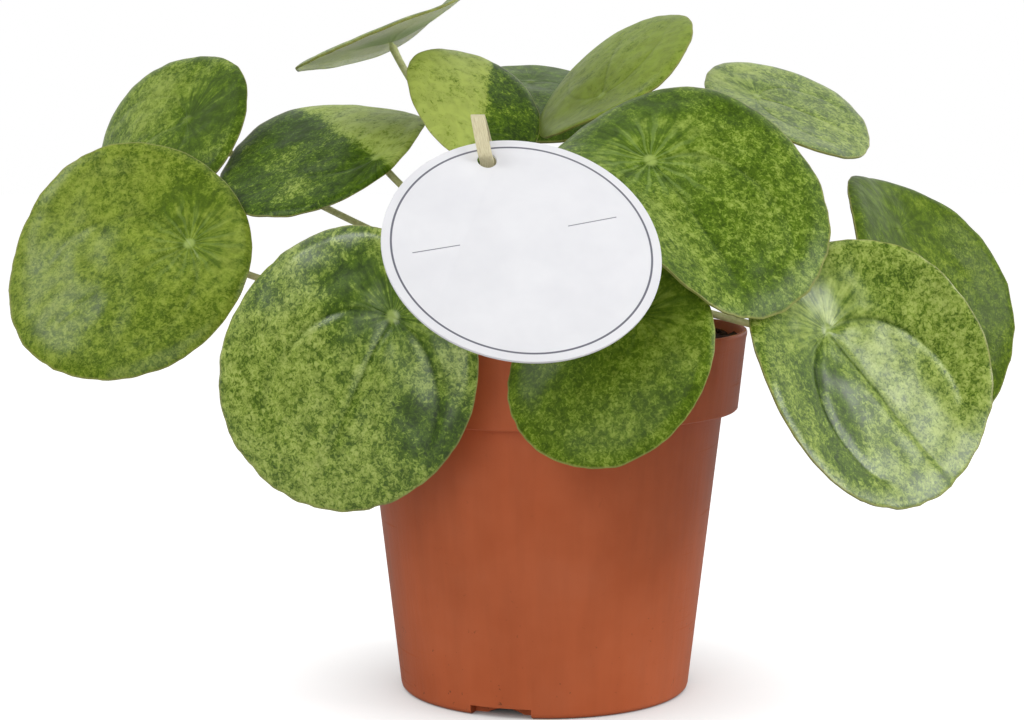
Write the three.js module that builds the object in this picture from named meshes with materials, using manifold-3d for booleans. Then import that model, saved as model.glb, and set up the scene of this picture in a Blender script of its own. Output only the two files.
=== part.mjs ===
// A potted pilea: round shield-like leaves on long stalks round a short stem, in a nursery
// pot, with a round card tag on a flat tie. Millimetres, +Z up. The origin is the middle of
// the pot's underside, and the plant is seen from the front along +Y.
import * as THREE from 'three';
import { mergeVertices } from 'three/addons/utils/BufferGeometryUtils.js';
import Module from 'manifold-3d';

const wasm = await Module();
wasm.setup();

// Driving dimensions
const GAP = 0.3;                  // between pieces that touch on the real plant

const POT_TOP = 110;              // height of the pot
const RIM_RADIUS = 61;            // outside of the rim at the top
const BAND_RADIUS = 58.4;         // outside of the rim band at its lower edge
const STEP_HEIGHT = 86;           // where the band steps in to the body
const BODY_RADIUS = 53.8;         // outside of the body under the band
const FOOT_RADIUS = 44;           // outside of the body at the foot
const WALL = 1.4;
const LIP = 0.8;                  // rounding of the rim and of the band's lower edge
const FOOT_ROUND = 1.8;           // rounding of the foot's outer edge
const PAD_RADIUS = 30;            // flat pad in the middle of the underside
const CHANNEL = { inner: 31, outer: 37.6, draft: 0.8, height: 3 };   // drainage ring
const DRAIN = { count: 8, radius: 3, sides: 10 };
const NOTCH = { width: 18.5, height: 3, depth: 12, turns: [-18, 102, 222] };
const POT_SEGMENTS = 48;

const SOIL_FIT = 0.6;             // clearance inside the pot's faceted wall
const SOIL_EDGE = 107.5;          // height of the potting mix at the wall
const SOIL_MIDDLE = 107;          // and at the stem
const SOIL_RINGS = [47, 36, 25, 15];
const SOIL_LUMPS = { height: 0.8, broad: 21, fine: 7 };
const SOIL_SEGMENTS = 32;
const HOLE_DEPTH = 14;            // of the plain hole that the stem stands in

const STEM_RADIUS = 5;
const STEM_TIP_RADIUS = 3.4;
const STEM_TOP = 138;
const STEM_RING = 4.2;            // spacing of the old leaf scars
const SCAR = { out: 0.4, height: 2 };
const BUD = { base: 2.7, tip: 0.9, height: 5 };
const STEM_SEGMENTS = 14;

const BLADE = 0.9;                // thickness of a leaf
const BLADE_SEGMENTS = 24;
const BLADE_RINGS = [0.16, 0.55, 1];
const DIMPLE = { depth: 1.2, reach: 9 };
const WAVE = 0.6;                 // rise and fall of a leaf's edge
const STALK_RADIUS = 1.15;
const YOUNG_STALK_RADIUS = 0.8;
const STALK_SIDES = 6;
const STALK_STEPS = 9;
const STALK_LEAVING = 0.35;       // share of its span that a stalk runs on as it leaves the stem
const STALK_ARRIVING = 0.3;       // and as it comes to the blade
const STALK_HOMING = 0.8;         // how far it comes from the stem's side, against from below

const TAG = { centre: [-7.4, -98, 139.8], facing: [9.5, 42], radius: 36.7, thickness: 0.8 };
const TAG_HOLE = { across: 6.1, up: 29.7, radius: 2.6 };
const TAG_CURVE = 40;
const TIE = { width: 3.8, thickness: 0.8, turn: 2, lean: 0.23, steps: 42 };

// The tie's course: out through the tag's hole, up over the card's edge, down behind it, round
// a leaf stalk and back. It lies in an upright plane through the hole, which turns a little
// from straight back, as [back, up] from the hole. Above the hole it leans to the left.
const TIE_COURSE = [
  [0, 0], [-1.7, 2.2], [1.6, 7.6], [6.6, 12], [11.6, 9], [18, -1], [34, -12], [56, -21.5],
  [73, -26.8], [78.8, -28.4], [81, -32.2], [79, -36.6], [72, -37.2], [54, -31], [30, -21],
  [9, -7.5],
];

// Every leaf: its heart, where the stalk meets the blade; the way its upper face looks, in
// degrees from the front towards +X and above the level; the turn of its tip from straight
// down the slope; length and width; how far it bends down towards its tip, its base and its
// two sides; the share of its length behind the heart; and where its stalk leaves the stem,
// as a height and a rise in degrees.
const LEAVES = [
  {
    name: 'leaf_left_high', heart: [-112, 34, 172], facing: [-35, 41], turn: 56,
    size: [74, 69], bend: [45, -2, 10, 0], base: 0.3, node: 113, rise: 28,
  },
  {
    name: 'leaf_left_far', heart: [-105, -16, 136], facing: [-10, 40], turn: 73,
    size: [76, 78], bend: [16, 14, 15, -26], base: 0.24, node: 111, rise: 8,
  },
  {
    name: 'leaf_left_flat', heart: [-50, -9, 161], facing: [-35, 53], turn: 100,
    size: [67, 66], bend: [0, 4, 1, 31], base: 0.12, node: 119, rise: 40,
  },
  {
    name: 'leaf_front_left', heart: [-43, -60, 118.5], facing: [-19, 8], turn: 46,
    size: [81, 80], bend: [9, 7, 8, 22], base: 0.24, node: 112, rise: 35,
  },
  {
    name: 'leaf_top_left', heart: [-47, 12, 196], facing: [-90, 75], turn: -108,
    size: [69, 66], bend: [-8, 13, -47, 7], base: 0.3, node: 127, rise: 62,
  },
  {
    name: 'leaf_crown_left', heart: [-19, -18, 169.7], facing: [36, 33], turn: 191,
    size: [47, 42], bend: [25, 4, 12, -9], base: 0.27, node: 130, rise: 65,
  },
  {
    name: 'leaf_crown_back', heart: [-4, 50, 184], facing: [10, 70], turn: 4,
    size: [58, 57], bend: [14, 7, 6, 7], base: 0.3, node: 129, rise: 60,
  },
  {
    name: 'leaf_crown_right', heart: [17, 0, 179.5], facing: [-52, 41], turn: 154,
    size: [57, 57], bend: [20, -34, 15, 7], base: 0.3, node: 132, rise: 70,
  },
  {
    name: 'leaf_right_large', heart: [29, -43, 161], facing: [12, 40], turn: -40,
    size: [85, 83], bend: [17, 42, 7, -50], base: 0.32, node: 123, rise: 45,
  },
  {
    name: 'leaf_right_high', heart: [65, 16, 179], facing: [37, 60], turn: -44,
    size: [54, 65], bend: [4, 0, 0, -12], base: 0.31, node: 124, rise: 50,
  },
  {
    name: 'leaf_right_far', heart: [108, 10, 139], facing: [62, 28], turn: 4,
    size: [92, 82], bend: [25, 28, -41, 0], base: 0.23, node: 114, rise: 20,
  },
  {
    name: 'leaf_right_low', heart: [79, -47, 113.2], facing: [39, 21], turn: -27,
    size: [80, 84], bend: [-18, 23, -50, -18], base: 0.3, node: 111, rise: 45,
  },
  {
    name: 'leaf_front_low', heart: [24, -72, 120.3], facing: [-12, 29], turn: 31,
    size: [64, 55], bend: [18, 6, 18, 28], base: 0.28, node: 115, rise: 35,
  },
  {
    name: 'leaf_back_right', heart: [42, 46, 146], facing: [130, 54], turn: 20,
    size: [66, 64], bend: [18, 6, 8, 8], base: 0.3, node: 116, rise: 40,
  },
  {
    name: 'leaf_back', heart: [6, 66, 134], facing: [176, 38], turn: -10,
    size: [68, 66], bend: [16, 8, 8, 10], base: 0.3, node: 120, rise: 40,
  },
  {
    name: 'leaf_back_left', heart: [-42, 50, 128], facing: [-140, 40], turn: 12,
    size: [64, 62], bend: [18, 6, 10, 8], base: 0.3, node: 115, rise: 35,
  },
  {
    name: 'leaf_young_front', heart: [6, -10, 153], facing: [20, 52], turn: 0,
    size: [21, 19], bend: [10, 6, -12, -12], base: 0.28, node: 135, rise: 72, young: true,
  },
  {
    name: 'leaf_young_back', heart: [8, 11, 151], facing: [140, 55], turn: 0,
    size: [17, 15], bend: [8, 4, -14, -14], base: 0.28, node: 136, rise: 70, young: true,
  },
];

const COLOURS = {
  pot: [0xb0643c, 0.5],
  soil: [0x2e2119, 0.95],
  stem: [0x6b5a3a, 0.8],
  leaf: [0x6f8f3a, 0.4],
  youngLeaf: [0x93ae4c, 0.4],
  tag: [0xf3f3f5, 0.7],
  tie: [0xe2cbab, 0.8],
};

// A closed mesh as a solid that can be joined and cut, and back again
function solidOf(geometry) {
  const bare = new THREE.BufferGeometry();
  const flat = geometry.index ? geometry : mergeVertices(geometry);
  bare.setAttribute('position', flat.getAttribute('position').clone());
  bare.setIndex(flat.index.clone());
  const merged = mergeVertices(bare, 1e-4);
  const corners = [];
  for (let i = 0; i < merged.index.count; i += 3) {
    const [a, b, c] = [0, 1, 2].map((k) => merged.index.getX(i + k));
    if (a !== b && b !== c && c !== a) corners.push(a, b, c);
  }
  return new wasm.Manifold(new wasm.Mesh({
    numProp: 3,
    vertProperties: new Float32Array(merged.getAttribute('position').array),
    triVerts: new Uint32Array(corners),
  }));
}

function geometryOf(solid) {
  const mesh = solid.getMesh();
  const geometry = new THREE.BufferGeometry();
  geometry.setAttribute('position', new THREE.BufferAttribute(mesh.vertProperties, 3));
  geometry.setIndex(new THREE.BufferAttribute(mesh.triVerts, 1));
  geometry.computeVertexNormals();
  return geometry;
}

// A round body from a profile of [radius, height] points, standing along +Z
function turned(profile, segments) {
  const points = profile.map(([radius, height]) => new THREE.Vector2(radius, height));
  return new THREE.LatheGeometry(points, segments).rotateX(Math.PI / 2);
}

function radians(degrees) {
  return THREE.MathUtils.degToRad(degrees);
}

function wave(distance, length) {
  return Math.sin(2 * Math.PI * distance / length);
}

// The pot: a rim band, a tapering body, a foot with three notches and a drained underside
function potGeometry() {
  const floor = CHANNEL.height + WALL;
  const footCorner = FOOT_ROUND * (1 - Math.SQRT1_2);
  const profile = [
    [0, 0], [PAD_RADIUS, 0], [CHANNEL.inner, CHANNEL.height], [CHANNEL.outer, CHANNEL.height],
    [CHANNEL.outer + CHANNEL.draft, 0], [FOOT_RADIUS - FOOT_ROUND, 0],
    [FOOT_RADIUS - footCorner, footCorner], [FOOT_RADIUS, FOOT_ROUND],
    [BODY_RADIUS, STEP_HEIGHT], [BAND_RADIUS - LIP / 2, STEP_HEIGHT],
    [BAND_RADIUS, STEP_HEIGHT + LIP / 2], [RIM_RADIUS, POT_TOP - LIP], [RIM_RADIUS - LIP / 2, POT_TOP],
    [RIM_RADIUS - WALL, POT_TOP], [BAND_RADIUS - WALL, STEP_HEIGHT + WALL],
    [BODY_RADIUS - WALL, STEP_HEIGHT + WALL], [FOOT_RADIUS - WALL, floor + WALL],
    [FOOT_RADIUS - 2 * WALL, floor], [0, floor],
  ];
  let pot = solidOf(turned(profile, POT_SEGMENTS));
  for (const turn of NOTCH.turns) {
    const notch = new THREE.BoxGeometry(NOTCH.width, NOTCH.depth, 2 * NOTCH.height);
    notch.translate(0, -FOOT_RADIUS, 0).rotateZ(radians(turn));
    pot = pot.subtract(solidOf(notch));
  }
  for (let i = 0; i < DRAIN.count; i += 1) {
    const drain = new THREE.CylinderGeometry(DRAIN.radius, DRAIN.radius, 4 * WALL, DRAIN.sides);
    drain.rotateX(Math.PI / 2).translate(0, -(CHANNEL.inner + CHANNEL.outer) / 2, floor);
    drain.rotateZ((i + 0.5) * 2 * Math.PI / DRAIN.count);
    pot = pot.subtract(solidOf(drain));
  }
  return geometryOf(pot);
}

// The potting mix fills the pot to just under its rim, with a plain hole for the stem
function soilGeometry() {
  const inset = WALL + SOIL_FIT;
  const floor = CHANNEL.height + WALL + GAP;
  const shelf = STEP_HEIGHT + WALL + GAP;
  const hole = STEM_RADIUS + GAP;
  const holeFloor = SOIL_EDGE - HOLE_DEPTH;
  const edgeShare = (SOIL_EDGE - shelf) / (POT_TOP - shelf);
  const edge = THREE.MathUtils.lerp(BAND_RADIUS, RIM_RADIUS, edgeShare) - inset;
  const profile = [
    [0, floor], [FOOT_RADIUS - WALL - inset, floor], [FOOT_RADIUS - inset, floor + WALL],
    [BODY_RADIUS - inset, shelf], [BAND_RADIUS - inset, shelf],
    [edge, SOIL_EDGE - 1], [edge - 1, SOIL_EDGE],
  ];
  for (const radius of [...SOIL_RINGS, hole + 2]) {
    profile.push([radius, THREE.MathUtils.lerp(SOIL_MIDDLE, SOIL_EDGE, (radius / edge) ** 2)]);
  }
  profile.push([hole, SOIL_MIDDLE], [hole, holeFloor], [0, holeFloor]);
  const soil = turned(profile, SOIL_SEGMENTS);
  const place = soil.getAttribute('position');
  for (let i = 0; i < place.count; i += 1) {
    const [x, y, z] = [place.getX(i), place.getY(i), place.getZ(i)];
    const radius = Math.hypot(x, y);
    if (z > SOIL_EDGE - 1 && radius > hole + 1 && radius < edge - 2) {
      const broad = wave(x, SOIL_LUMPS.broad) * wave(y, SOIL_LUMPS.broad);
      const lumps = broad + wave(x - y, SOIL_LUMPS.fine) / 2;
      place.setZ(i, z + SOIL_LUMPS.height * lumps);
    }
  }
  return soil;
}

// The stem: a short tapering stub ringed with leaf scars, closed by a small bud
function stemProfile(grown) {
  const bottom = SOIL_EDGE - HOLE_DEPTH + GAP - grown;
  const core = STEM_RADIUS - SCAR.out;
  const first = SOIL_MIDDLE + 1;
  const profile = [[0, bottom], [core + grown, bottom]];
  for (let z = first; z < STEM_TOP - 1; z += STEM_RING) {
    const radius = THREE.MathUtils.lerp(core, STEM_TIP_RADIUS, (z - first) / (STEM_TOP - first)) + grown;
    profile.push([radius, z], [radius + SCAR.out, z + SCAR.height / 2], [radius, z + SCAR.height]);
  }
  profile.push([BUD.base + grown, STEM_TOP], [BUD.tip + grown, STEM_TOP + BUD.height - BUD.tip]);
  profile.push([0, STEM_TOP + BUD.height + grown]);
  return profile;
}

// One leaf's own directions: across the blade, towards its tip, and out of its upper face
function leafFrame(facing, turn) {
  const [azimuth, elevation] = facing.map(radians);
  const out = new THREE.Vector3(
    Math.cos(elevation) * Math.sin(azimuth),
    -Math.cos(elevation) * Math.cos(azimuth),
    Math.sin(elevation),
  );
  const down = new THREE.Vector3(0, 0, -1).addScaledVector(out, out.z).normalize();
  const tip = down.applyAxisAngle(out, -radians(turn));
  const across = new THREE.Vector3().crossVectors(tip, out);
  return { across, tip, out };
}

// A strip of the given half length that bends down by an angle: how far a point goes along
// it, and how far it drops
function bent(distance, half, degrees) {
  const curve = Math.max(Math.abs(radians(degrees)), 1e-6) / half;
  const drop = Math.sign(degrees || 1) * (1 - Math.cos(curve * distance)) / curve;
  return [Math.sin(curve * Math.abs(distance)) / curve * Math.sign(distance), drop];
}

// A point of the blade, in the leaf's own directions, from its share of the way from the
// heart to the edge and its angle round the blade
function bladePoint(leaf, share, angle) {
  const [length, width] = leaf.size;
  const [tipBend, baseBend, sideBend, otherSideBend] = leaf.bend;
  const across = share * (width / 2) * Math.sin(angle);
  const along = share * ((0.5 - leaf.base) * length - (length / 2) * Math.cos(angle));
  const ahead = along > 0;
  const [x, dropAcross] = bent(across, width / 2, across > 0 ? otherSideBend : sideBend);
  const reach = (ahead ? 1 - leaf.base : leaf.base) * length;
  const [y, dropAlong] = bent(along, reach, ahead ? tipBend : baseBend);
  const size = length / 75;
  const fromHeart = Math.hypot(across, along) / (DIMPLE.reach * size);
  const dimple = DIMPLE.depth * size * (1 - Math.exp(-(fromHeart ** 2)));
  const wave = WAVE * size * share ** 3 * Math.sin(3 * angle + leaf.heart[0]);
  return new THREE.Vector3(x, y, dimple + wave - dropAcross - dropAlong);
}

// The blade as a closed thin shell, split into triangles alike on both faces
function bladeGeometry(leaf) {
  const positions = [];
  const corners = [];
  const rings = [0, ...BLADE_RINGS];
  const layer = 1 + BLADE_RINGS.length * BLADE_SEGMENTS;
  const vertex = (ring, segment, under) => {
    const place = ring === 0 ? 0 : 1 + (ring - 1) * BLADE_SEGMENTS + (segment % BLADE_SEGMENTS);
    return place + (under ? layer : 0);
  };
  for (const side of [0.5, -0.5]) {
    rings.forEach((share, ring) => {
      for (let i = 0; i < (ring === 0 ? 1 : BLADE_SEGMENTS); i += 1) {
        const point = bladePoint(leaf, share, i / BLADE_SEGMENTS * 2 * Math.PI);
        positions.push(point.x, point.y, point.z + side * BLADE);
      }
    });
  }
  const both = (a, b, c) => {
    corners.push(vertex(...a, false), vertex(...b, false), vertex(...c, false));
    corners.push(vertex(...c, true), vertex(...b, true), vertex(...a, true));
  };
  const last = BLADE_RINGS.length;
  for (let i = 0; i < BLADE_SEGMENTS; i += 1) {
    both([0, 0], [1, i], [1, i + 1]);
    for (let ring = 1; ring < last; ring += 1) {
      both([ring, i], [ring + 1, i], [ring + 1, i + 1]);
      both([ring, i], [ring + 1, i + 1], [ring, i + 1]);
    }
    const [a, b] = [vertex(last, i, false), vertex(last, i + 1, false)];
    const [c, d] = [vertex(last, i, true), vertex(last, i + 1, true)];
    corners.push(a, c, d, a, d, b);
  }
  const geometry = new THREE.BufferGeometry();
  geometry.setAttribute('position', new THREE.Float32BufferAttribute(positions, 3));
  geometry.setIndex(corners);
  const { across, tip, out } = leafFrame(leaf.facing, leaf.turn);
  const place = new THREE.Matrix4().makeBasis(across, tip, out).setPosition(...leaf.heart);
  return geometry.applyMatrix4(place);
}

// The stalk's course, from the middle of the stem to the underside of the heart
function stalkCurve(leaf) {
  const { out } = leafFrame(leaf.facing, leaf.turn);
  const heart = new THREE.Vector3(...leaf.heart);
  const start = new THREE.Vector3(0, 0, leaf.node);
  const span = heart.distanceTo(start);
  const outward = new THREE.Vector3(heart.x, heart.y, 0).normalize();
  const rise = radians(leaf.rise);
  const leaving = start.clone().addScaledVector(outward, STALK_LEAVING * span * Math.cos(rise));
  leaving.z += STALK_LEAVING * span * Math.sin(rise);
  const homeward = start.clone().sub(heart).normalize();
  const arrival = homeward.multiplyScalar(STALK_HOMING).sub(out).normalize();
  const arriving = heart.clone().addScaledVector(arrival, STALK_ARRIVING * span);
  return new THREE.CubicBezierCurve3(start, leaving, arriving, heart);
}

function stalkGeometry(leaf) {
  const section = new THREE.Shape();
  const radius = leaf.young ? YOUNG_STALK_RADIUS : STALK_RADIUS;
  for (let i = 0; i < STALK_SIDES; i += 1) {
    const angle = i / STALK_SIDES * 2 * Math.PI;
    const [x, y] = [radius * Math.cos(angle), radius * Math.sin(angle)];
    if (i === 0) section.moveTo(x, y);
    else section.lineTo(x, y);
  }
  section.closePath();
  return new THREE.ExtrudeGeometry(section, {
    steps: STALK_STEPS, bevelEnabled: false, extrudePath: stalkCurve(leaf),
  });
}

function leafGeometry(leaf, stemClearance) {
  const whole = solidOf(bladeGeometry(leaf)).add(solidOf(stalkGeometry(leaf)));
  return geometryOf(whole.subtract(stemClearance));
}

// The tag: a round card with a hole, and its own directions
function tagFrame() {
  const { across, tip, out } = leafFrame(TAG.facing, 0);
  return new THREE.Matrix4().makeBasis(across, tip, out).setPosition(...TAG.centre);
}

function tagGeometry() {
  const disc = new THREE.Shape().absarc(0, 0, TAG.radius, 0, 2 * Math.PI, false);
  const hole = new THREE.Path();
  hole.absarc(TAG_HOLE.across, -TAG_HOLE.up, TAG_HOLE.radius, 0, 2 * Math.PI, true);
  disc.holes.push(hole);
  const card = new THREE.ExtrudeGeometry(disc, {
    depth: TAG.thickness, bevelEnabled: false, curveSegments: TAG_CURVE,
  });
  return card.translate(0, 0, -TAG.thickness / 2).applyMatrix4(tagFrame());
}

// The tie: a flat tape in a closed loop along its course
function tieGeometry() {
  const course = new THREE.CatmullRomCurve3(TIE_COURSE.map(([x, y]) => new THREE.Vector3(x, y, 0)), true);
  const positions = [];
  const corners = [];
  const section = [[-1, -1], [1, -1], [1, 1], [-1, 1]];
  for (let i = 0; i < TIE.steps; i += 1) {
    const point = course.getPoint(i / TIE.steps);
    const tangent = course.getTangent(i / TIE.steps);
    section.forEach(([outward, sideways], k) => {
      const offset = outward * TIE.thickness / 2;
      const [x, y] = [point.x + offset * tangent.y, point.y - offset * tangent.x];
      positions.push(x, y, sideways * TIE.width / 2 - TIE.lean * Math.max(0, y));
      const [a, b] = [4 * i + k, 4 * i + (k + 1) % 4];
      const [c, d] = [a, b].map((corner) => (corner + 4) % (4 * TIE.steps));
      corners.push(a, d, b, a, c, d);
    });
  }
  const tape = new THREE.BufferGeometry();
  tape.setAttribute('position', new THREE.Float32BufferAttribute(positions, 3));
  tape.setIndex(corners);
  const hole = new THREE.Vector3(TAG_HOLE.across, -TAG_HOLE.up, 0).applyMatrix4(tagFrame());
  const turn = radians(TIE.turn);
  const back = new THREE.Vector3(Math.sin(turn), Math.cos(turn), 0);
  const up = new THREE.Vector3(0, 0, 1);
  const across = new THREE.Vector3().crossVectors(back, up);
  return tape.applyMatrix4(new THREE.Matrix4().makeBasis(back, up, across).setPosition(hole));
}

// The plant
const plant = new THREE.Group();

function add(name, geometry, finish) {
  const [color, roughness] = COLOURS[finish];
  const mesh = new THREE.Mesh(geometry, new THREE.MeshStandardMaterial({ color, roughness, metalness: 0 }));
  mesh.name = name;
  plant.add(mesh);
}

add('pot', potGeometry(), 'pot');
add('potting_mix', soilGeometry(), 'soil');
add('stem', turned(stemProfile(0), STEM_SEGMENTS), 'stem');
const stemClearance = solidOf(turned(stemProfile(GAP), STEM_SEGMENTS));
for (const leaf of LEAVES) {
  add(leaf.name, leafGeometry(leaf, stemClearance), leaf.young ? 'youngLeaf' : 'leaf');
}
add('hang_tag', tagGeometry(), 'tag');
add('tag_tie', tieGeometry(), 'tie');

export default plant;
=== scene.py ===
import math
import random
from contextlib import contextmanager

import bpy
import numpy as np
from mathutils import Matrix, Vector, noise


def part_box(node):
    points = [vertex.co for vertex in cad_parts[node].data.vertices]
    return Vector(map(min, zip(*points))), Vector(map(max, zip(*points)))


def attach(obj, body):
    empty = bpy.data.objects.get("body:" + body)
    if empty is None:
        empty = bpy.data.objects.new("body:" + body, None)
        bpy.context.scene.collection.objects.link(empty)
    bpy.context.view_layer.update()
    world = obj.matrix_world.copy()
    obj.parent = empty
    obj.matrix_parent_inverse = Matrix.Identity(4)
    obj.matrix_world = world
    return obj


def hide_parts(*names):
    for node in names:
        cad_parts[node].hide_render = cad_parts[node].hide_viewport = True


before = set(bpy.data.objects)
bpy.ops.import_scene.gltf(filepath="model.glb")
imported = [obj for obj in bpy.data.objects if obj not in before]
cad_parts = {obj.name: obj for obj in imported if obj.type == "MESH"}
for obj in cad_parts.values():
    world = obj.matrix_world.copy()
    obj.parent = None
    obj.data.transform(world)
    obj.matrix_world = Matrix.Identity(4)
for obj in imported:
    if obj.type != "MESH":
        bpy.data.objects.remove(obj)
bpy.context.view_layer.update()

MM = 0.001
UP = Vector((0, 0, 1))
GAP = 0.3
SOFT_EDGE = 55

# Pot. A rounding holds steps outwards and upwards from an edge.
RIM_RADIUS, _, POT_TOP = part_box("pot")[1] / MM
BAND_RADIUS = 58.4
STEP_HEIGHT = 86
BODY_RADIUS = 53.8
FOOT_RADIUS = 44
WALL = 1.4
PAD_RADIUS = 30
CHANNEL = {"inner": 31, "outer": 37.6, "draft": 0.8, "height": 3}
DRAIN = {"count": 8, "radius": 3, "sides": 24}
NOTCH = {"width": 18.5, "height": 3, "depth": 12, "turns": (-18, 102, 222)}
FOOT_ROUNDING = ((-1.8, 0), (-0.9, 0.25), (-0.25, 0.9), (0, 1.8))
BAND_ROUNDING = ((-0.4, 0), (0, 0.4), (0.1, 1.6))
RIM_ROUNDING = (
    (-0.35, -2.6), (-0.05, -1.4), (0, -0.7), (-0.25, -0.15), (-0.7, 0), (-1.3, -0.15), (-1.5, -0.8),
)
POT_SEGMENTS = 144

# Potting mix. The lumps are pairs of height and breadth.
SOIL_EDGE = 107.5
SOIL_MIDDLE = 107
SOIL_SEGMENTS = 120
SOIL_STEP = 1.5
SOIL_INSET = WALL + 0.6
SOIL_LUMPS = ((1.9, 7), (0.9, 2.3))
LUMPS_FROM = SOIL_EDGE - 0.9
HOLE = {"radius": 5.3, "depth": 14}
CRUMBS = {
    "count": 460, "shapes": 4, "sizes": (0.5, 0.7, 0.9, 1.1, 1.5), "height": 0.7, "lift": 0.35,
    "from_hole": 3, "from_wall": 2.2,
}

# Stem. A scar's steps go outwards and upwards from its lower edge.
STEM_LOW, STEM_HIGH = (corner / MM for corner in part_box("stem"))
STEM_RADIUS = 4.6
STEM_TIP_RADIUS = 3.4
STEM_TOP = 138
STEM_RING = 4.2
STEM_BUMPS = (0.5, 2.6)
SCAR = ((0, 0), (0.28, 0.5), (0.4, 1), (0.12, 1.6), (0, 2))
STEM_TIP = ((2.9, -0.4), (2.6, 1.2), (2.0, 2.8), (1.2, 4.2))

# Leaves. Heights and radii in the blade's relief are those of a leaf of the typical length.
BLADE = {"thickness": 0.65, "rings": 40, "segments": 144, "typical": 75, "rounding": 0.28}
DIMPLE = {"depth": 1.2, "reach": 9}
KNOB = {"height": 0.45, "reach": 1.5}
CREASE = {"depth": 0.45, "reach": 0.02, "swell": 0.9}
PUCKER = {"height": 0.4, "size": 8}
WAVE = 0.6
NERVE = {"side": 0.31, "centre": 0.34, "midrib": 0.62, "line": 0.016}
RAY = {"count": 16, "short": 0.1, "long": 0.36}
RIM = {"wobble": 0.26, "period": 4, "frill": 0.25, "roll": 1.2, "from": 0.86}
UV_SPAN = 1.6
STALK = {"steps": 36, "leaving": 0.35, "arriving": 0.3, "homing": 0.8}

# Tag and tie
TAG = {"stance": ((9.5, 42), 0, (-7.4, -98, 139.8)), "radius": 36.7, "thickness": 0.8}
TAG_HOLE = {"place": (6.1, -29.7, 0), "radius": 2.6}
RING_SHARE = 0.93
PRINT_SPAN = 100
TIE = {"width": 3.8, "thickness": 0.6, "turn": 2, "lean": 0.23, "steps": 240, "rows": 6}
TIE_COURSE = (
    (0, 0), (-1.7, 2.2), (1.6, 7.6), (6.6, 12), (11.6, 9), (18, -1), (34, -12), (56, -21.5),
    (73, -26.8), (78.8, -28.4), (81, -32.2), (79, -36.6), (72, -37.2), (54, -31), (30, -21),
    (9, -7.5),
)

# Short rules printed on the card, each from one end to the other, across and down from its middle
PRINTED_RULES = (((28.8, 1.5), (16.2, -0.9)), ((-13.0, -6.9), (-26.3, -9.8)))

# Camera, lights and world. A light stands at an azimuth from the front towards +X, an elevation
# and a distance in metres from AIM, with its side in metres and its power in watts.
CAMERA = {"place": (-0.010, -0.700, 0.176), "down": 6.2, "lens": 81.63, "sensor": 36}
AIM = (0, 0, 0.12)
LIGHTS = {
    "softbox_front": (-15, 16, 1.3, 0.8, 5),
    "softbox_left": (-75, 38, 1.3, 0.4, 4),
    "softbox_right": (75, 22, 1.2, 0.55, 7),
    "softbox_top": (0, 86, 1.4, 1.2, 3),
}
WORLD = {"diffuse": 0.29, "mirrored_front": 0.06, "mirrored_back": 0.9}
FLOOR = {"side": 8, "colour": (0.5, 0.5, 0.5, 1), "glow": 0.88}


def grown(name, **own):
    """A leaf with the usual values, apart from its own."""
    usual = {
        "turn": 0, "base": 0.3, "nerve": 0, "crease": 0.3, "rays": 0.15, "gloss": 0.3,
        "mottle": 0.9, "patches": (), "thick": 1.081,
    }
    return {**usual, **own, "node_name": "leaf_" + name}


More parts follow.
